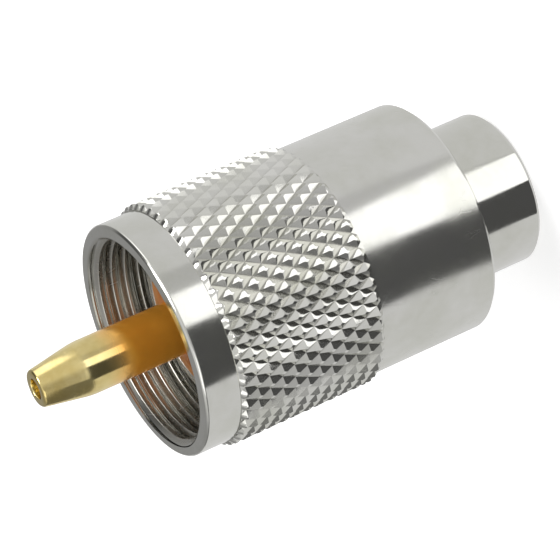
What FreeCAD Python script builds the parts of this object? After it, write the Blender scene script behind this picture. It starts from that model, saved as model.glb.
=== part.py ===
import FreeCAD, Part
import math
import os

os.makedirs("parts", exist_ok=True)

# A coaxial cable plug with a threaded coupling ring and a hollow centre pin.
# It stands on the rear face of its cable stub, with +Z towards the tip of the pin.
# The origin is the centre of that rear face. All sizes are in millimetres.

# Coupling ring, outside
ring_wall = 0.7625             # plain blank over the coupling thread
front_band_length = 2.75
knurl_length = 11.6
rear_sleeve_length = 9.55
knurl_rise = 0.4               # from the plain blank up to the points
knurl_depth = 0.46             # from the points down to the bottom of the grooves
knurl_starts = 50              # grooves of each hand round the ring
knurl_rows = 11                # half diamonds between the two sloped ends
knurl_end_slope = 0.35         # length over which each end rises to the full height
knurl_step = 0.06              # sharp step from the plain blank up to each sloped end
ring_edge = 0.35               # chamfer on the outer edges
sewing_tolerance = 0.00001     # where the facets of the knurl are joined to the turned faces

# Coupling ring, inside
thread_depth = 0.4875          # 5/8-24 thread, cut only as its plain crest bore
lead_in = 0.6                  # chamfer at the mouth
land_thickness = 3.0           # inner land that keeps the ring on the body
rear_bore_depth = 7.7
ring_travel = 5.0              # how far the loose ring can move forward
ring_clearance = 0.15          # land over waist, radial
flange_clearance = 0.25        # thread crests over flange, radial
collar_clearance = 0.55        # rear bore over collar, radial

# Plug body, from the insulator outwards
spigot_wall = 0.87
spigot_length = 2.4
spigot_edge = 0.3
flange_ledge = 1.3             # flange beyond spigot, radial
flange_thickness = 2.2
waist_depth = 1.2              # waist below flange, radial
collar_height = 0.7            # collar above waist, radial
collar_length = 3.5
stub_drop = 0.98               # stub below collar, radial
stub_reach = 6.0               # stub that stands out behind the ring
stub_edge = 0.4
nub_count = 4
nub_width = 1.3
nub_height = 0.7
nub_inset = 0.25               # from the rim of the flange

# Plug body, bores
cable_bore_diameter = 6.2
cable_bore_depth = 5.9
cable_entry_edge = 0.5
braid_bore_diameter = 5.0
seat_ledge = 0.8               # shoulder that the insulator rests on
chamber_length = 8.4
solder_hole_count = 4
solder_hole_diameter = 2.4
solder_hole_from_collar = 2.2

# Insulator
insulator_diameter = 10.0
insulator_length = 5.0         # seated in the spigot and flange
boss_clearance = 0.6           # boss in the chamber, radial
insulator_boss_length = 2.4
insulator_dish_depth = 0.3     # shallow dish in the front face
insulator_dish_wall = 0.7      # rim that is left round the dish
insulator_hub_wall = 0.5       # rim that is left round the pin
seat_clearance = 0.03          # insulator in its bore, pin in its hole

# Centre contact
pin_diameter = 3.96
pin_reach = 12.05              # from the insulator to the tip
pin_taper_length = 3.6
pin_taper_depth = 0.62
pin_nose_edge = 0.2
pin_shoulder = 0.43            # pin above its neck, radial
pin_neck_wall = 0.4
pin_tip_hole_diameter = 1.5
pin_tip_hole_length = 2.5
rivet_height = 0.55            # riveted rear end above the neck, radial
rivet_thickness = 0.5

# Diameters that follow from the sizes above
spigot_diameter = insulator_diameter + 2 * (seat_clearance + spigot_wall)
flange_diameter = spigot_diameter + 2 * flange_ledge
waist_diameter = flange_diameter - 2 * waist_depth
collar_diameter = waist_diameter + 2 * collar_height
stub_diameter = collar_diameter - 2 * stub_drop
chamber_diameter = insulator_diameter - 2 * seat_ledge
insulator_boss_diameter = chamber_diameter - 2 * boss_clearance
thread_bore_diameter = flange_diameter + 2 * flange_clearance
blank_diameter = thread_bore_diameter + 2 * (thread_depth + ring_wall)
rear_bore_diameter = collar_diameter + 2 * collar_clearance
pin_neck_diameter = pin_diameter - 2 * pin_shoulder
pin_bore_diameter = pin_neck_diameter - 2 * pin_neck_wall
rivet_diameter = pin_neck_diameter + 2 * rivet_height

# Heights that follow from the lengths above
ring_rear = stub_reach
knurl_rear = ring_rear + rear_sleeve_length
knurl_front = knurl_rear + knurl_length
mouth = knurl_front + front_band_length
land_rear = ring_rear + rear_bore_depth
land_front = land_rear + land_thickness
collar_rear = land_rear - collar_length
flange_rear = land_front + ring_travel
flange_front = flange_rear + flange_thickness
spigot_front = flange_front + spigot_length
insulator_seat = spigot_front - insulator_length
insulator_rear = insulator_seat - insulator_boss_length
tip = spigot_front + pin_reach

blank_radius = blank_diameter / 2
knurl_end_radius = blank_radius + knurl_step
knurl_point_radius = blank_radius + knurl_rise
knurl_root_radius = knurl_point_radius - knurl_depth
land_radius = waist_diameter / 2 + ring_clearance


def point(radius, height, angle=0.0):
    return FreeCAD.Vector(radius * math.cos(angle), radius * math.sin(angle), height)


def outline(corners):
    return [Part.LineSegment(point(*a), point(*b)).toShape() for a, b in zip(corners, corners[1:])]


def about_axis(shape):
    return shape.revolve(FreeCAD.Vector(0, 0, 0), FreeCAD.Vector(0, 0, 1), 360)


def turned(corners):
    """A solid turned from a closed outline of radius and height pairs."""
    return about_axis(Part.Face(Part.Wire(outline(corners + corners[:1]))))


def knurl_heights():
    inner_length = knurl_length - 2 * knurl_end_slope
    rows = [knurl_rear + knurl_end_slope + inner_length * row / knurl_rows for row in range(knurl_rows + 1)]
    return [knurl_rear] + rows + [knurl_front]


def knurl_grid():
    """Rows of points in which groove bottoms and knurl points take turns, level at both ends."""
    heights = knurl_heights()
    columns = 2 * knurl_starts
    grid = []
    for row, height in enumerate(heights):
        if row in (0, len(heights) - 1):
            turns = [knurl_end_radius, knurl_end_radius]
        else:
            turns = [knurl_root_radius, knurl_point_radius]
        grid.append([point(turns[(row + column) % 2], height, 2 * math.pi * column / columns)
                     for column in range(columns)])
    return grid


def triangle(a, b, c):
    return Part.Face(Part.makePolygon([a, b, c, a]))


def knurl_facets(grid):
    """Two facets in each cell, parted along the groove that crosses it."""
    facets = []
    for row in range(len(grid) - 1):
        for column in range(len(grid[row])):
            beside = (column + 1) % len(grid[row])
            low, low_beside = grid[row][column], grid[row][beside]
            high, high_beside = grid[row + 1][column], grid[row + 1][beside]
            if (row + column) % 2 == 0:
                facets += [triangle(low, low_beside, high_beside), triangle(low, high_beside, high)]
            else:
                facets += [triangle(low, low_beside, high), triangle(low_beside, high_beside, high)]
    return facets


def knurl_shoulder(row_of_points, height):
    """The flat step between the plain blank and the first points of the knurl."""
    rim = Part.makePolygon(row_of_points + row_of_points[:1])
    circle = Part.Wire(Part.makeCircle(blank_radius, FreeCAD.Vector(0, 0, height)))
    return Part.Face(rim).cut(Part.Face(circle)).Faces[0]


def coupling_ring():
    bore = thread_bore_diameter / 2
    rear_bore = rear_bore_diameter / 2
    smooth = outline([
        (blank_radius, knurl_front),
        (blank_radius, mouth - ring_edge), (blank_radius - ring_edge, mouth),
        (bore + lead_in, mouth), (bore, mouth - lead_in),
        (bore, land_front), (land_radius, land_front),
        (land_radius, land_rear), (rear_bore, land_rear),
        (rear_bore, ring_rear + ring_edge), (rear_bore + ring_edge, ring_rear),
        (blank_radius - ring_edge, ring_rear), (blank_radius, ring_rear + ring_edge),
        (blank_radius, knurl_rear)])
    grid = knurl_grid()
    faces = [face for edge in smooth for face in about_axis(edge).Faces]
    faces += knurl_facets(grid)
    faces += [knurl_shoulder(grid[0], knurl_rear), knurl_shoulder(grid[-1], knurl_front)]
    shell = Part.Shell(faces)
    shell.sewShape()
    ring = Part.Solid(shell)
    ring.fix(sewing_tolerance, sewing_tolerance, sewing_tolerance)
    return ring


def around(count, make):
    return [make().rotate(FreeCAD.Vector(0, 0, 0), FreeCAD.Vector(0, 0, 1), 360 * index / count)
            for index in range(count)]


def locating_nub():
    inner = spigot_diameter / 2 - spigot_edge
    outer = flange_diameter / 2 - nub_inset
    nub = Part.makeBox(outer - inner, nub_width, nub_height, point(inner, flange_front))
    nub.translate(FreeCAD.Vector(0, -nub_width / 2, 0))
    return nub


def solder_hole():
    height = collar_rear - solder_hole_from_collar
    return Part.makeCylinder(solder_hole_diameter / 2, stub_diameter, point(0, height), FreeCAD.Vector(1, 0, 0))


def plug_body():
    stub = stub_diameter / 2
    collar = collar_diameter / 2
    waist = waist_diameter / 2
    flange = flange_diameter / 2
    spigot = spigot_diameter / 2
    seat = insulator_diameter / 2 + seat_clearance
    chamber = chamber_diameter / 2
    braid = braid_bore_diameter / 2
    cable = cable_bore_diameter / 2
    chamber_rear = insulator_seat - chamber_length
    body = turned([
        (cable + cable_entry_edge, 0), (stub - stub_edge, 0), (stub, stub_edge),
        (stub, collar_rear), (collar, collar_rear), (collar, land_rear), (waist, land_rear),
        (waist, flange_rear), (flange, flange_rear), (flange, flange_front), (spigot, flange_front),
        (spigot, spigot_front - spigot_edge), (spigot - spigot_edge, spigot_front), (seat, spigot_front),
        (seat, insulator_seat), (chamber, insulator_seat), (chamber, chamber_rear),
        (braid, chamber_rear), (braid, cable_bore_depth), (cable, cable_bore_depth),
        (cable, cable_entry_edge)])
    body = body.fuse(around(nub_count, locating_nub))
    return body.cut(around(solder_hole_count, solder_hole)).removeSplitter()


def insulator():
    outer = insulator_diameter / 2
    boss = insulator_boss_diameter / 2
    hole = pin_neck_diameter / 2 + seat_clearance
    hub = pin_diameter / 2 + insulator_hub_wall
    dish = outer - insulator_dish_wall
    floor = spigot_front - insulator_dish_depth
    return turned([
        (hole, insulator_rear), (boss, insulator_rear), (boss, insulator_seat), (outer, insulator_seat),
        (outer, spigot_front), (dish, spigot_front),
        (dish - insulator_dish_depth, floor), (hub + insulator_dish_depth, floor), (hub, spigot_front),
        (hole, spigot_front)])


def centre_contact():
    outer = pin_diameter / 2
    bore = pin_bore_diameter / 2
    neck = pin_neck_diameter / 2
    rivet = rivet_diameter / 2
    nose = outer - pin_taper_depth
    hole = pin_tip_hole_diameter / 2
    hole_rear = tip - pin_tip_hole_length
    rivet_rear = insulator_rear - rivet_thickness
    return turned([
        (bore, rivet_rear), (rivet, rivet_rear), (rivet, insulator_rear), (neck, insulator_rear),
        (neck, spigot_front), (outer, spigot_front), (outer, tip - pin_taper_length),
        (nose, tip - pin_nose_edge), (nose - pin_nose_edge, tip), (hole, tip),
        (hole, hole_rear), (bore, hole_rear)])


shapes = {
    "coupling_ring": coupling_ring(),
    "plug_body": plug_body(),
    "insulator": insulator(),
    "centre_contact": centre_contact(),
}
for name, shape in shapes.items():
    shape.exportStep("parts/" + name + ".step")
    box = shape.BoundBox
    print(name, "valid", shape.isValid(), "solids", len(shape.Solids), "volume %.2f" % shape.Volume,
          "height %.2f to %.2f" % (box.ZMin, box.ZMax), "across %.2f" % box.XLength)
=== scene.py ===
import math

import bmesh
import bpy
from mathutils import Matrix, Vector


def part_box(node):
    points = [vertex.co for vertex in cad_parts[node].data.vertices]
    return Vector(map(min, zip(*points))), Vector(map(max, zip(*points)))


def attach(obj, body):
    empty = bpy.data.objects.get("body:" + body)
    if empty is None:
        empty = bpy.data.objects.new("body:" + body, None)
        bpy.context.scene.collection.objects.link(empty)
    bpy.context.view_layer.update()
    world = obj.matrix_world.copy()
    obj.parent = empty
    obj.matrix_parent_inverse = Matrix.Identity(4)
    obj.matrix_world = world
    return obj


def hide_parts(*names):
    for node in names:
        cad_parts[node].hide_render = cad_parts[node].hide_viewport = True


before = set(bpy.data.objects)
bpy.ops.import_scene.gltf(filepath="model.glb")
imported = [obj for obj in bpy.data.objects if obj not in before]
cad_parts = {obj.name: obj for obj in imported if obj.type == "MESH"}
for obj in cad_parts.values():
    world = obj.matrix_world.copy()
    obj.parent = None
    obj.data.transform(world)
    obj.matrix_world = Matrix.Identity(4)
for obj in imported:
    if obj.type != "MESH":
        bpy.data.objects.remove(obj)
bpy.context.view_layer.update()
mm = 0.001
ringLow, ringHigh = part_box("coupling_ring")
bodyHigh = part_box("plug_body")[1]
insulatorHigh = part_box("insulator")[1]
pinLow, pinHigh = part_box("centre_contact")

# Camera, in metres and degrees with its lens in millimetres, turned on its axis so that the standing
# plug lies across the picture
camera = {"place": (0.0001, -0.1997, 0.0981), "down": 21.7, "roll": -113.76, "lens": 195.4, "near": 0.01}
cameraData = bpy.data.cameras.new("camera")
cameraData.lens = camera["lens"]
cameraData.clip_start = camera["near"]
cameraObject = bpy.data.objects.new("camera", cameraData)
cameraObject.matrix_world = (Matrix.Translation(camera["place"])
                             @ Matrix.Rotation(math.radians(90 - camera["down"]), 4, "X")
                             @ Matrix.Rotation(math.radians(camera["roll"]), 4, "Z"))
bpy.context.scene.collection.objects.link(cameraObject)
bpy.context.scene.camera = cameraObject
bpy.context.scene.view_settings.view_transform = "Standard"
print("camera placed")


def nodeOf(tree, kind, **values):
    node = tree.nodes.new(kind)
    for name, value in values.items():
        setattr(node, name, value)
    return node


def feed(tree, socket, value):
    # A number or a colour is typed into the socket, anything else is linked to it
    if isinstance(value, (int, float)):
        socket.default_value = value
    elif isinstance(value, tuple):
        socket.default_value = value if len(value) == len(socket.default_value) else (*value, 1)
    else:
        tree.links.new(value, socket)


def mathNode(tree, operation, *inputs):
    node = nodeOf(tree, "ShaderNodeMath", operation=operation)
    for index, value in enumerate(inputs):
        feed(tree, node.inputs[index], value)
    return node.outputs[0]


def product(tree, first, *others):
    for factor in others:
        first = mathNode(tree, "MULTIPLY", first, factor)
    return first


def plusShare(tree, value, mask, share):
    return mathNode(tree, "ADD", value, product(tree, mask, share))


def inBand(tree, value, low, high):
    above = mathNode(tree, "GREATER_THAN", value, low)
    return product(tree, above, mathNode(tree, "LESS_THAN", value, high))


def rangeOf(tree, value, low, high, toLow=0.0, toHigh=1.0, smooth=False):
    node = nodeOf(tree, "ShaderNodeMapRange", interpolation_type="SMOOTHSTEP" if smooth else "LINEAR")
    for index, setting in enumerate((value, low, high, toLow, toHigh)):
        feed(tree, node.inputs[index], setting)
    return node.outputs[0]


def noiseOf(tree, vector, scale, detail=3.0, roughness=0.55):
    noise = nodeOf(tree, "ShaderNodeTexNoise")
    for label, value in (("Vector", vector), ("Scale", scale), ("Detail", detail), ("Roughness", roughness)):
        feed(tree, noise.inputs[label], value)
    return noise.outputs["Fac"]


def mixColours(tree, mask, first, second):
    node = nodeOf(tree, "ShaderNodeMix", data_type="RGBA")
    for index, value in ((0, mask), (6, first), (7, second)):  # the node's colour sockets are 6 and 7
        feed(tree, node.inputs[index], value)
    return node.outputs[2]


def mixLevels(tree, mask, first, second):
    node = nodeOf(tree, "ShaderNodeMix", data_type="FLOAT")
    for index, value in ((0, mask), (2, first), (3, second)):  # the node's plain sockets are 2 and 3
        feed(tree, node.inputs[index], value)
    return node.outputs[0]


def bumpOf(tree, height, depth, strength=1.0):
    bump = nodeOf(tree, "ShaderNodeBump")
    for label, value in (("Height", height), ("Distance", depth), ("Strength", strength)):
        feed(tree, bump.inputs[label], value)
    return bump.outputs["Normal"]


def shaderGroup(name, inputs, output):
    group = bpy.data.node_groups.new(name, "ShaderNodeTree")
    for label, value in inputs.items():
        socket = group.interface.new_socket(label, in_out="INPUT", socket_type="NodeSocketFloat")
        socket.default_value = value
    group.interface.new_socket(output, in_out="OUTPUT", socket_type="NodeSocketFloat")
    return group, nodeOf(group, "NodeGroupInput").outputs, nodeOf(group, "NodeGroupOutput").inputs[output]


def useGroup(tree, group, **values):
    node = nodeOf(tree, "ShaderNodeGroup", node_tree=group)
    for label, value in values.items():
        node.inputs[label].default_value = value
    return node.outputs[0]


def placeOn(tree):
    return nodeOf(tree, "ShaderNodeTexCoord").outputs["Object"]


def roundAxis(tree):
    # Distance from the plug's axis, and height
    parts = nodeOf(tree, "ShaderNodeSeparateXYZ")
    tree.links.new(placeOn(tree), parts.inputs[0])
    flat = nodeOf(tree, "ShaderNodeCombineXYZ")
    tree.links.new(parts.outputs["X"], flat.inputs["X"])
    tree.links.new(parts.outputs["Y"], flat.inputs["Y"])
    length = nodeOf(tree, "ShaderNodeVectorMath", operation="LENGTH")
    tree.links.new(flat.outputs[0], length.inputs[0])
    return length.outputs["Value"], parts.outputs["Z"]


# Rings left by the turning tool: they change with height and radius, never round the axis
toolMarks, given, result = shaderGroup("toolMarks", {"Scale": 9000.0}, "Height")
radius, height = roundAxis(toolMarks)
profile = nodeOf(toolMarks, "ShaderNodeCombineXYZ")
toolMarks.links.new(radius, profile.inputs["X"])
toolMarks.links.new(height, profile.inputs["Z"])
rings = noiseOf(toolMarks, profile.outputs[0], given["Scale"], detail=4.0, roughness=0.7)
toolMarks.links.new(rings, result)

# Soft patches where the surface has been handled
handling, given, result = shaderGroup("handling", {"Scale": 220.0, "Low": 0.38, "High": 0.68}, "Mask")
patch = noiseOf(handling, placeOn(handling), given["Scale"], detail=5.0, roughness=0.6)
handling.links.new(rangeOf(handling, patch, given["Low"], given["High"]), result)

# Short hairlines, the cell borders of a stretched pattern that mostly fades out
hairline = {"turn": (0.6, 0.9, 0.3), "stretch": (1.0, 0.16, 0.5), "fadeScale": 500.0, "fadeFrom": 0.52,
            "fadeTo": 0.62}
hairlines, given, result = shaderGroup("hairlines", {"Scale": 900.0, "Width": 0.03}, "Mask")
place = placeOn(hairlines)
turned = nodeOf(hairlines, "ShaderNodeMapping")
feed(hairlines, turned.inputs["Vector"], place)
feed(hairlines, turned.inputs["Rotation"], hairline["turn"])
feed(hairlines, turned.inputs["Scale"], hairline["stretch"])
cells = nodeOf(hairlines, "ShaderNodeTexVoronoi", feature="DISTANCE_TO_EDGE")
feed(hairlines, cells.inputs["Vector"], turned.outputs[0])
feed(hairlines, cells.inputs["Scale"], given["Scale"])
line = rangeOf(hairlines, cells.outputs["Distance"], 0.0, given["Width"], 1.0, 0.0)
cloud = noiseOf(hairlines, place, hairline["fadeScale"], detail=2.0)
fade = rangeOf(hairlines, cloud, hairline["fadeFrom"], hairline["fadeTo"])
hairlines.links.new(product(hairlines, line, fade), result)

# The thread and the faces inside the mouth, which are never polished by handling; the mask also lays painted
# shade there
insideMouth, given, result = shaderGroup("insideMouth", {"Wall": 7.95 * mm, "Full": 7.632 * mm,
                                                         "Floor": 18.0 * mm}, "Mask")
radius, height = roundAxis(insideMouth)
within = rangeOf(insideMouth, radius, given["Wall"], given["Full"])
above = mathNode(insideMouth, "GREATER_THAN", height, given["Floor"])
insideMouth.links.new(product(insideMouth, within, above), result)

# Depth below the knurl points, for the dull film that settles in the grooves and the painted shade deep in
# them
grooveDirtAndShade, given, result = shaderGroup("grooveDirtAndShade", {"Points": 9.1 * mm, "Bottom": 8.64 * mm,
                                                       "Core": 8.55 * mm, "Rear": 15.6 * mm,
                                                       "Front": 27.1 * mm}, "Mask")
radius, height = roundAxis(grooveDirtAndShade)
depth = rangeOf(grooveDirtAndShade, radius, given["Points"], given["Bottom"])
outside = mathNode(grooveDirtAndShade, "GREATER_THAN", radius, given["Core"])
band = inBand(grooveDirtAndShade, height, given["Rear"], given["Front"])
grooveDirtAndShade.links.new(product(grooveDirtAndShade, depth, band, outside), result)


def newMaterial(name, metallic):
    material = bpy.data.materials.new(name)
    material.use_nodes = True
    shader = material.node_tree.nodes["Principled BSDF"]
    shader.inputs["Metallic"].default_value = metallic
    return material, material.node_tree, shader.inputs


# Nickel plate, rougher on the handled sleeve, duller in the grooves and inside the mouth, and darker there,
# partly from dirt and unpolished plate and partly from painted shade
nickel = {"clean": (0.69, 0.685, 0.655), "dull": (0.62, 0.62, 0.567), "dirtAndShade": (0.46, 0.45, 0.42),
          "dirtAndShadeFrom": 0.5, "dirtAndShadeMost": 0.45, "mouth": (0.52, 0.505, 0.46), "smooth": 0.09, "rough": 0.18,
          "unpolished": 0.12, "handled": 0.08, "sleeveFront": 15.5 * mm, "scratched": 0.08,
          "markDepth": 0.0025 * mm, "lineShare": 0.35, "mouthMarks": 0.2}
nickelPlate, tree, shader = newMaterial("nickelPlate", 1.0)
patches = useGroup(tree, handling)
lines = useGroup(tree, hairlines)
mouthMask = useGroup(tree, insideMouth)
# Painted shade: the grooves darken with depth, partly dirt and partly shade painted into the colour
dirtAndShade = rangeOf(tree, useGroup(tree, grooveDirtAndShade), nickel["dirtAndShadeFrom"], 1.0, 0.0, nickel["dirtAndShadeMost"])
colour = mixColours(tree, patches, nickel["clean"], nickel["dull"])
colour = mixColours(tree, dirtAndShade, colour, nickel["dirtAndShade"])
# Painted shade: the darker mouth colour is partly unpolished plate and partly shade painted into the recess
feed(tree, shader["Base Color"], mixColours(tree, mouthMask, colour, nickel["mouth"]))
sleeve = inBand(tree, roundAxis(tree)[1], ringLow.z, nickel["sleeveFront"])
worn = rangeOf(tree, patches, 0.0, 1.0, nickel["smooth"], nickel["rough"])
for mask, setting in ((mouthMask, "unpolished"), (sleeve, "handled"), (lines, "scratched")):
    worn = plusShare(tree, worn, mask, nickel[setting])
feed(tree, shader["Roughness"], worn)
marks = plusShare(tree, useGroup(tree, toolMarks), lines, -nickel["lineShare"])
marks = product(tree, marks, rangeOf(tree, mouthMask, 0.0, 1.0, 1.0, nickel["mouthMarks"]))
feed(tree, shader["Normal"], bumpOf(tree, marks, nickel["markDepth"]))

# Gold plate, with a painted amber reflection on its foot that fades out towards the tip
gold = {"clean": (0.82, 0.69, 0.34), "dull": (0.66, 0.52, 0.20), "paintedAmberReflection": (0.96, 0.44, 0.05), "paintedAmberReflectionMetallic": 0.52,
        "paintedAmberReflectionFrom": 31.2 * mm, "paintedAmberReflectionTo": 34.2 * mm, "paintedAmberReflectionDrift": 0.6 * mm, "smooth": 0.08, "rough": 0.17,
        "scratched": 0.1, "markDepth": 0.0025 * mm}
goldPlate, tree, shader = newMaterial("goldPlate", 1.0)
patches = useGroup(tree, handling, Scale=420.0)
lines = useGroup(tree, hairlines, Scale=1500.0)
# Painted reflection: the pin's foot is tinted amber and made less metallic, standing in for the orange light
# it catches from the insulator inside the mouth
drifted = plusShare(tree, roundAxis(tree)[1], patches, gold["paintedAmberReflectionDrift"])
paintedAmberReflection = rangeOf(tree, drifted, gold["paintedAmberReflectionTo"], gold["paintedAmberReflectionFrom"], smooth=True)
colour = mixColours(tree, patches, gold["clean"], gold["dull"])
feed(tree, shader["Base Color"], mixColours(tree, paintedAmberReflection, colour, gold["paintedAmberReflection"]))
feed(tree, shader["Metallic"], rangeOf(tree, paintedAmberReflection, 0.0, 1.0, 1.0, gold["paintedAmberReflectionMetallic"]))
worn = rangeOf(tree, patches, 0.0, 1.0, gold["smooth"], gold["rough"])
feed(tree, shader["Roughness"], plusShare(tree, worn, lines, gold["scratched"]))
marks = mathNode(tree, "SUBTRACT", useGroup(tree, toolMarks, Scale=14000.0), lines)
feed(tree, shader["Normal"], bumpOf(tree, marks, gold["markDepth"]))

# Moulded phenolic, with a fine flecked grain
resin = {"dark": (0.30, 0.11, 0.022), "light": (0.50, 0.20, 0.045), "fleck": (0.62, 0.30, 0.10),
         "fleckFrom": 0.62, "fleckTo": 0.75, "fleckMost": 0.6, "smooth": 0.28, "rough": 0.45,
         "grainScale": 6000.0, "grainDepth": 0.01 * mm, "grainStrength": 0.4}
phenolic, tree, shader = newMaterial("phenolic", 0.0)
patches = useGroup(tree, handling, Scale=700.0, Low=0.3, High=0.75)
grain = noiseOf(tree, placeOn(tree), resin["grainScale"], detail=2.0, roughness=0.6)
flecks = rangeOf(tree, grain, resin["fleckFrom"], resin["fleckTo"], 0.0, resin["fleckMost"])
colour = mixColours(tree, patches, resin["dark"], resin["light"])
feed(tree, shader["Base Color"], mixColours(tree, flecks, colour, resin["fleck"]))
feed(tree, shader["Roughness"], rangeOf(tree, patches, 0.0, 1.0, resin["smooth"], resin["rough"]))
feed(tree, shader["Normal"], bumpOf(tree, grain, resin["grainDepth"], resin["grainStrength"]))
print("materials made")

spinSteps = 200  # segments round every turned face
roundSteps = 3  # segments of a rounded corner
flankAngle = 30  # of the threads, from square to the axis
sharpAngle = 32  # above this an edge stays crisp
weld = 0.0005 * mm  # points nearer than this become one
threadWeld = 0.002 * mm  # the same between the turns of a thread
level = 0.001 * mm  # how far off its height a point may be


def inMetres(sizes):
    return {name: value * mm for name, value in sizes.items()}


def objectOf(name, bm):
    mesh = bpy.data.meshes.new(name)
    bm.to_mesh(mesh)
    bm.free()
    made = bpy.data.objects.new(name, mesh)
    bpy.context.scene.collection.objects.link(made)
    return made


def wire(bm, corners, closed=False):
    # Corners are radius, height and, where the corner is rounded, how far from it the round starts
    verts = [bm.verts.new((corner[0], 0, corner[1])) for corner in corners]
    for pair in zip(verts, verts[1:] + verts[:1] if closed else verts[1:]):
        bm.edges.new(pair)
    for start in sorted({corner[2] for corner in corners if len(corner) > 2}):
        picked = [vert for vert, corner in zip(verts, corners) if len(corner) > 2 and corner[2] == start]
        bmesh.ops.bevel(bm, geom=picked, offset=start, affect="VERTICES", segments=roundSteps, profile=0.5,
                        material=-1)
    return [edge for edge in bm.edges if not edge.link_faces]


def spinWire(bm, edges, climb=0.0):
    # One turn round the axis, closed unless it climbs
    verts = list(dict.fromkeys(vert for edge in edges for vert in edge.verts))
    bmesh.ops.spin(bm, geom=verts + edges, cent=(0, 0, 0), axis=(0, 0, 1), dvec=(0, 0, climb / spinSteps),
                   angle=2 * math.pi, steps=spinSteps, use_merge=climb == 0.0)


def helix(bm, crest, root, low, high, pitch, flat):
    # A thread between two heights, open at both ends: one turn is spun, then copied up the axis
    flank = abs(root - crest) * math.tan(math.radians(flankAngle))
    start = low - pitch
    rootSoft = flat / 4
    crestSoft = flat / 3
    spinWire(bm, wire(bm, [
        (root, start), (root, start + flat, rootSoft), (crest, start + flat + flank, crestSoft),
        (crest, start + pitch - flank, crestSoft), (root, start + pitch)]), climb=pitch)
    oneTurn = bm.verts[:] + bm.edges[:] + bm.faces[:]
    for turn in range(1, math.ceil((high - low) / pitch) + 1):
        copied = bmesh.ops.duplicate(bm, geom=oneTurn)["geom"]
        bmesh.ops.translate(bm, vec=(0, 0, pitch * turn),
                            verts=[item for item in copied if isinstance(item, bmesh.types.BMVert)])
    bmesh.ops.remove_doubles(bm, verts=bm.verts, dist=threadWeld)
    for height, side in ((high, 1), (low, -1)):
        bmesh.ops.bisect_plane(bm, geom=bm.verts[:] + bm.edges[:] + bm.faces[:], plane_co=(0, 0, height),
                               plane_no=(0, 0, side), clear_outer=True)


def toRadius(vert, radius):
    scale = radius / vert.co.xy.length
    vert.co.x *= scale
    vert.co.y *= scale


def closeFlat(bm, height):
    # Fills the flat ring between the two open rims at a height
    rims = [edge for edge in bm.edges if edge.is_boundary
            and all(abs(vert.co.z - height) < level for vert in edge.verts)]
    bmesh.ops.triangle_fill(bm, edges=rims, normal=(0, 0, 1), use_beauty=False, use_dissolve=False)


def tidyMesh(bm):
    bmesh.ops.remove_doubles(bm, verts=bm.verts, dist=weld)
    bmesh.ops.recalc_face_normals(bm, faces=bm.faces)


def finishPiece(name, bm, body, node, material):
    tidyMesh(bm)
    openEdges = sum(1 for edge in bm.edges if not edge.is_manifold)
    piece = objectOf(name, bm)
    mesh = piece.data
    mesh.materials.append(material)
    mesh.polygons.foreach_set("use_smooth", [True] * len(mesh.polygons))
    mesh.set_sharp_from_angle(angle=math.radians(sharpAngle))
    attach(piece, body)
    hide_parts(node)
    print(name, "faces", len(mesh.polygons), "open edges", openEdges)


# Coupling ring, in millimetres, with the knurl's counts and the share that its points have lost
ring = inMetres({"blank": 8.7, "band": 2.75, "knurl": 11.6, "rise": 0.4, "depth": 0.34, "slope": 0.35,
                 "step": 0.06, "rowLift": 0.01, "edge": 0.35, "frontEdge": 0.18, "lip": 0.05, "crest": 7.45,
                 "root": 7.9375, "thread": 9.0, "pitch": 25.4 / 24, "rootFlat": 0.13, "relief": 7.97,
                 "reliefWidth": 1.2, "leadIn": 0.35, "landRadius": 6.15, "land": 3.0, "rearBore": 7.25,
                 "rearDepth": 7.7, "round": 0.07})
ring.update(starts=50, rows=11, blunted=0.2)
mouth = ringHigh.z
knurlFront = mouth - ring["band"]
knurlRear = knurlFront - ring["knurl"]
landRear = ringLow.z + ring["rearDepth"]
landFront = landRear + ring["land"]
threadEnd = mouth - ring["thread"]
rowLength = (ring["knurl"] - 2 * ring["slope"]) / ring["rows"]


def wave(value):
    # 0 at each whole number and 1 halfway between
    return 2 * abs(value - round(value))


def cutKnurl(bm):
    # Presses the diamonds into the plain rows of the knurled band
    bottom = ring["blank"] + ring["rise"] - ring["depth"]
    climb = ring["depth"] / (1 - ring["blunted"])
    first = knurlRear + ring["slope"]
    points = []
    for vert in bm.verts:
        outer = vert.co.xy.length > ring["blank"] + ring["step"] / 2
        if not outer or not knurlRear + level < vert.co.z < knurlFront - level:
            continue
        across = math.atan2(vert.co.y, vert.co.x) / math.pi * ring["starts"]
        along = 1 + (vert.co.z - first) / rowLength
        lift = min(wave((across + along) / 2), wave((across - along) / 2))
        toRadius(vert, bottom + climb * lift)
        if round(lift, 2) == 1:
            points.append(vert)
    # Every edge from a point ends halfway down, so twice the lost share comes off it
    bmesh.ops.bevel(bm, geom=points, offset=100 * 2 * ring["blunted"], offset_type="PERCENT",
                    affect="VERTICES", segments=1, profile=0.5, material=-1)
    facets = [face for face in bm.faces
              if knurlRear - level < face.calc_center_median().z < knurlFront + level
              and face.calc_center_median().xy.length > ring["blank"] - ring["step"]]
    bmesh.ops.triangulate(bm, faces=facets, quad_method="SHORT_EDGE", ngon_method="BEAUTY")


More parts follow.
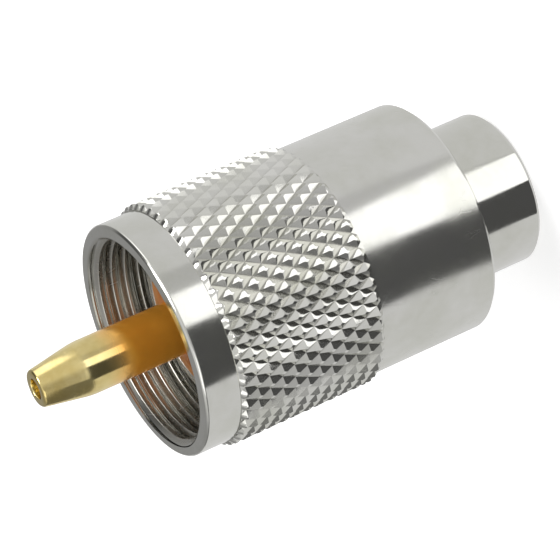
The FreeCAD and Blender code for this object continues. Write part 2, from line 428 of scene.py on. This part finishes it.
bm = bmesh.new()
helix(bm, ring["crest"], ring["root"], threadEnd, mouth, ring["pitch"], ring["rootFlat"])
for vert in bm.verts:
    cone = ring["crest"] + vert.co.z - (mouth - ring["leadIn"])
    if cone > vert.co.xy.length:
        toRadius(vert, cone)
soft = ring["round"]
raised = ring["blank"] + ring["step"]
corners = [(ring["relief"], threadEnd), (ring["relief"], threadEnd - ring["reliefWidth"]),
           (ring["crest"], threadEnd - ring["reliefWidth"], soft), (ring["crest"], landFront),
           (ring["landRadius"], landFront, soft), (ring["landRadius"], landRear, soft),
           (ring["rearBore"], landRear), (ring["rearBore"], ringLow.z + ring["edge"], soft),
           (ring["rearBore"] + ring["edge"], ringLow.z, soft),
           (ring["blank"] - ring["edge"], ringLow.z, soft),
           (ring["blank"], ringLow.z + ring["edge"], soft), (ring["blank"], knurlRear), (raised, knurlRear)]
for halfRow in range(2 * ring["rows"] + 1):
    corners.append((raised + ring["rowLift"], knurlRear + ring["slope"] + rowLength * halfRow / 2))
corners += [(raised, knurlFront), (ring["blank"], knurlFront),
            (ring["blank"], mouth - ring["frontEdge"], soft),
            (ring["blank"] - ring["frontEdge"], mouth, soft),
            (ring["crest"] + ring["leadIn"] + ring["lip"], mouth)]
spinWire(bm, wire(bm, corners))
closeFlat(bm, mouth)
closeFlat(bm, threadEnd)
cutKnurl(bm)
finishPiece("couplingRing", bm, "ring", "coupling_ring", nickelPlate)

# Plug body, in millimetres, with its counts and the share of the stub's radius where a drill's middle lies
plug = inMetres({"stub": 5.72, "stubEdge": 0.4, "cable": 3.1, "cableDepth": 5.9, "entry": 0.5, "braid": 2.5,
                 "chamber": 4.2, "chamberLength": 8.4, "collar": 6.7, "collarRoot": 6.4, "collarLength": 3.5,
                 "collarPitch": 0.8, "collarFlat": 0.1, "collarChamfer": 0.25, "waist": 6.0, "flange": 7.2,
                 "flangeThick": 2.2, "flangeEdge": 0.15, "spigot": 5.9, "spigotLength": 2.4,
                 "spigotEdge": 0.3, "seat": 5.03, "seatDepth": 5.0, "round": 0.07, "nubWidth": 1.3,
                 "nubHeight": 0.7, "nubInset": 0.25, "holeRadius": 1.2, "holeBelowCollar": 2.2})
plug.update(nubs=4, nubRoundSteps=2, holes=4, holeSides=48, drillAt=0.75)
collarRear = landRear - plug["collarLength"]
spigotFront = bodyHigh.z
flangeFront = spigotFront - plug["spigotLength"]
flangeRear = flangeFront - plug["flangeThick"]
seatRear = spigotFront - plug["seatDepth"]
chamberRear = seatRear - plug["chamberLength"]


def roundTheAxis(bm, verts, index, count):
    turn = Matrix.Rotation(2 * math.pi * index / count, 3, "Z")
    bmesh.ops.rotate(bm, verts=verts, cent=(0, 0, 0), matrix=turn)


def nubs(bm):
    inner = plug["spigot"] - plug["spigotEdge"]
    outer = plug["flange"] - plug["nubInset"]
    sink = plug["nubHeight"] / 2
    middle = ((outer + inner) / 2, 0, flangeFront + (plug["nubHeight"] - sink) / 2)
    for index in range(plug["nubs"]):
        made = bmesh.ops.create_cube(bm, size=1.0)["verts"]
        bmesh.ops.scale(bm, verts=made, vec=(outer - inner, plug["nubWidth"], plug["nubHeight"] + sink))
        bmesh.ops.translate(bm, verts=made, vec=middle)
        roundTheAxis(bm, made, index, plug["nubs"])
    bmesh.ops.bevel(bm, geom=bm.edges[:], offset=plug["round"], affect="EDGES",
                    segments=plug["nubRoundSteps"], profile=0.5, material=-1)


def solderHoles(bm):
    drillMiddle = (plug["stub"] * plug["drillAt"], 0, collarRear - plug["holeBelowCollar"])
    for index in range(plug["holes"]):
        made = bmesh.ops.create_cone(bm, cap_ends=True, segments=plug["holeSides"], depth=plug["stub"],
                                     radius1=plug["holeRadius"], radius2=plug["holeRadius"])["verts"]
        bmesh.ops.rotate(bm, verts=made, cent=(0, 0, 0), matrix=Matrix.Rotation(math.pi / 2, 3, "Y"))
        bmesh.ops.translate(bm, verts=made, vec=drillMiddle)
        roundTheAxis(bm, made, index, plug["holes"])


def joinShapes(bm, build, operation):
    # Joins or cuts with the shape that build makes, and gives back the result as a new bmesh
    cutterShape = bmesh.new()
    build(cutterShape)
    bmesh.ops.recalc_face_normals(cutterShape, faces=cutterShape.faces)
    cutter = objectOf("cutter", cutterShape)
    blank = objectOf("blank", bm)
    modifier = blank.modifiers.new("join", "BOOLEAN")
    modifier.object = cutter
    modifier.operation = operation
    modifier.solver = "EXACT"
    evaluated = blank.evaluated_get(bpy.context.evaluated_depsgraph_get())
    result = bmesh.new()
    result.from_mesh(evaluated.to_mesh())
    bpy.data.objects.remove(blank)
    bpy.data.objects.remove(cutter)
    return result


bm = bmesh.new()
helix(bm, plug["collar"], plug["collarRoot"], collarRear, landRear, plug["collarPitch"], plug["collarFlat"])
for vert in bm.verts:
    cone = plug["collar"] - plug["collarChamfer"] + min(vert.co.z - collarRear, landRear - vert.co.z)
    if cone < vert.co.xy.length:
        toRadius(vert, cone)
soft = plug["round"]
spinWire(bm, wire(bm, [
    (plug["stub"], collarRear), (plug["stub"], plug["stubEdge"], soft),
    (plug["stub"] - plug["stubEdge"], 0, soft), (plug["cable"] + plug["entry"], 0, soft),
    (plug["cable"], plug["entry"], soft), (plug["cable"], plug["cableDepth"]),
    (plug["braid"], plug["cableDepth"], soft), (plug["braid"], chamberRear), (plug["chamber"], chamberRear),
    (plug["chamber"], seatRear), (plug["seat"], seatRear), (plug["seat"], spigotFront, soft),
    (plug["spigot"] - plug["spigotEdge"], spigotFront, soft),
    (plug["spigot"], spigotFront - plug["spigotEdge"], soft), (plug["spigot"], flangeFront),
    (plug["flange"], flangeFront, plug["flangeEdge"]), (plug["flange"], flangeRear, plug["flangeEdge"]),
    (plug["waist"], flangeRear), (plug["waist"], landRear)]))
closeFlat(bm, landRear)
closeFlat(bm, collarRear)
tidyMesh(bm)
bm = joinShapes(bm, nubs, "UNION")
bm = joinShapes(bm, solderHoles, "DIFFERENCE")
finishPiece("plugBody", bm, "plug", "plug_body", nickelPlate)

# Insulator, in millimetres, with a dished front face round the pin
insulator = inMetres({"outer": 5.0, "boss": 3.6, "bossLength": 2.4, "hole": 1.58, "hub": 2.48, "dish": 4.3,
                      "dishDepth": 0.3, "length": 5.0, "edge": 0.12, "soft": 0.08})
front = insulatorHigh.z
seat = front - insulator["length"]
rear = seat - insulator["bossLength"]
floorHeight = front - insulator["dishDepth"]
bm = bmesh.new()
spinWire(bm, wire(bm, [
    (insulator["hole"], rear), (insulator["boss"], rear, insulator["edge"]), (insulator["boss"], seat),
    (insulator["outer"], seat, insulator["edge"]), (insulator["outer"], front, insulator["edge"]),
    (insulator["dish"], front, insulator["soft"]),
    (insulator["dish"] - insulator["dishDepth"], floorHeight, insulator["edge"]),
    (insulator["hub"] + insulator["dishDepth"], floorHeight, insulator["edge"]),
    (insulator["hub"], front, insulator["soft"]), (insulator["hole"], front)], closed=True))
finishPiece("insulatorBead", bm, "plug", "insulator", phenolic)

# Centre contact, in millimetres, hollow, with a long taper to its open tip
pin = inMetres({"outer": 1.98, "taper": 3.6, "taperDepth": 0.62, "nose": 0.2, "tipHole": 0.75,
                "tipDepth": 2.5, "bore": 1.15, "neck": 1.55, "rivet": 2.1, "rivetThick": 0.5, "round": 0.1,
                "blend": 0.45})
tip = pinHigh.z
end = pinLow.z
rivetFront = end + pin["rivetThick"]
bm = bmesh.new()
spinWire(bm, wire(bm, [
    (pin["bore"], end, pin["round"]), (pin["rivet"], end, pin["round"]), (pin["rivet"], rivetFront),
    (pin["neck"], rivetFront), (pin["neck"], front), (pin["outer"], front),
    (pin["outer"], tip - pin["taper"], pin["blend"]), (pin["outer"] - pin["taperDepth"], tip, pin["nose"]),
    (pin["tipHole"], tip, pin["round"]), (pin["tipHole"], tip - pin["tipDepth"]),
    (pin["bore"], tip - pin["tipDepth"])], closed=True))
finishPiece("centrePin", bm, "plug", "centre_contact", goldPlate)


def stagePiece(name, material, corners):
    bm = bmesh.new()
    bm.faces.new([bm.verts.new(corner) for corner in corners])
    piece = objectOf(name, bm)
    piece.data.materials.append(material)
    return piece


def square(half, height):
    return [(-half, -half, height), (half, -half, height), (half, half, height), (-half, half, height)]


# Floor, in metres, which stays white in the picture and keeps the soft shadow
floor = {"colour": (0.8, 0.8, 0.8), "roughness": 0.9, "half": 1.5, "glow": 0.55}
material, tree, shader = newMaterial("floor", 0.0)
feed(tree, shader["Base Color"], floor["colour"])
feed(tree, shader["Roughness"], floor["roughness"])
feed(tree, shader["Specular IOR Level"], 0.0)
rays = nodeOf(tree, "ShaderNodeLightPath").outputs
seen = mathNode(tree, "MAXIMUM", rays["Is Glossy Ray"], rays["Is Transmission Ray"])
seen = mathNode(tree, "MAXIMUM", rays["Is Camera Ray"], seen)
feed(tree, shader["Emission Color"], (1, 1, 1))
feed(tree, shader["Emission Strength"], product(tree, seen, floor["glow"]))
stagePiece("floor", material, square(floor["half"], 0))

# Cards that only the metal sees, in millimetres. The pale one covers the floor, the black, white and
# grey ones lie on it with seams that fan out from the plug, and the flag stands at the left.
seams = {"black": [(-3.0, -4.9), (-10.1, -8.5), (-26.8, -18.8), (-66.9, -39.2), (-405, -212)],
         "white": [(-0.5, -5.7), (-2.1, -13.5), (-3.8, -33.5), (-5.7, -78.5), (-22, -450)],
         "grey": [(1.7, -5.5), (6.3, -12.0), (16.2, -29.0), (35.5, -71.0), (215, -430)],
         "pale": [(1.7, -5.5), (8.5, -13.0), (22.8, -24.0), (57.3, -52.9), (348, -297)]}
laid = {"paleHalf": 900, "pale": 0.02, "others": 0.04}
flag = {"x": -190, "front": -160, "rear": 200, "top": 75}


def between(first, second):
    return [(x, y, laid["others"]) for x, y in seams[first] + seams[second][::-1]]


def upright(x, front, rear, top):
    return [(x, front, 0), (x, rear, 0), (x, rear, top), (x, front, top)]


cards = {"pale": {"strength": 0.76, "corners": square(laid["paleHalf"], laid["pale"])},
         "black": {"strength": 0.085, "corners": between("black", "white")},
         "white": {"strength": 1.65, "corners": between("white", "grey")},
         "grey": {"strength": 0.6, "corners": between("grey", "pale")},
         "flag": {"strength": 0.2, "corners": upright(**flag)}}
for name, card in cards.items():
    material = bpy.data.materials.new(name + "Card")
    material.use_nodes = True
    tree = material.node_tree
    tree.nodes.remove(tree.nodes["Principled BSDF"])
    glow = nodeOf(tree, "ShaderNodeEmission")
    feed(tree, glow.inputs["Strength"], card["strength"])
    tree.links.new(glow.outputs[0], tree.nodes["Material Output"].inputs["Surface"])
    cardPiece = stagePiece(name + "Card", material, [Vector(corner) * mm for corner in card["corners"]])
    for ray in ("camera", "diffuse", "transmission", "volume_scatter", "shadow"):
        setattr(cardPiece, "visible_" + ray, False)

# World: white to the camera, a plain level to what is lit, and a lit room to the metal
room = {"white": 1.0, "plain": 0.45, "mirrored": 0.85}
roomParts = {"bright side": {"towards": (1, 0, 0.1), "from": 0.84, "to": 0.96, "share": 2.3},
             "dim side": {"towards": (-1, 0.1, 0.05), "from": 0.7, "to": 0.95, "share": 0.8},
             "dim front": {"towards": (-0.65, -0.72, 0.25), "from": 0.6, "to": 0.95, "share": 0.6},
             "dim rear": {"towards": (0.1, 0.92, 0.4), "from": 0.15, "to": 0.65, "share": 0.4},
             "dark corner": {"towards": (0.72, 0.25, 0.65), "from": 0.85, "to": 0.96, "share": 0.3}}
world = bpy.data.worlds.new("studio")
world.use_nodes = True
bpy.context.scene.world = world
tree = world.node_tree
rays = nodeOf(tree, "ShaderNodeLightPath").outputs
direction = nodeOf(tree, "ShaderNodeTexCoord").outputs["Generated"]
mirrored = room["mirrored"]
for part in roomParts.values():
    facing = nodeOf(tree, "ShaderNodeVectorMath", operation="DOT_PRODUCT")
    tree.links.new(direction, facing.inputs[0])
    facing.inputs[1].default_value = Vector(part["towards"]).normalized()
    share = rangeOf(tree, facing.outputs["Value"], part["from"], part["to"], 1.0, part["share"], smooth=True)
    mirrored = product(tree, mirrored, share)
strength = mixLevels(tree, rays["Is Glossy Ray"], room["plain"], mirrored)
strength = mixLevels(tree, rays["Is Camera Ray"], strength, room["white"])
background = tree.nodes["Background"].inputs
feed(tree, background["Color"], (1, 1, 1))
feed(tree, background["Strength"], strength)

# Lamps, in metres and watts, all aimed at the plug's middle
lamps = {"key": {"place": (0.25, -0.15, 0.45), "size": 0.25, "power": 1.2, "mirrored": True},
         "fill": {"place": (-0.35, -0.25, 0.35), "size": 0.35, "power": 0.4, "mirrored": True},
         "rim": {"place": (0.05, 0.4, 0.35), "size": 0.3, "power": 0.6, "mirrored": False}}
aim = Vector((0, 0, 0.02))
for name, lamp in lamps.items():
    data = bpy.data.lights.new(name, "AREA")
    data.energy = lamp["power"]
    data.size = lamp["size"]
    lampObject = bpy.data.objects.new(name, data)
    lampObject.location = lamp["place"]
    lampObject.visible_glossy = lamp["mirrored"]
    lampObject.rotation_euler = (aim - lampObject.location).to_track_quat("-Z", "Y").to_euler()
    bpy.context.scene.collection.objects.link(lampObject)
print("studio set")
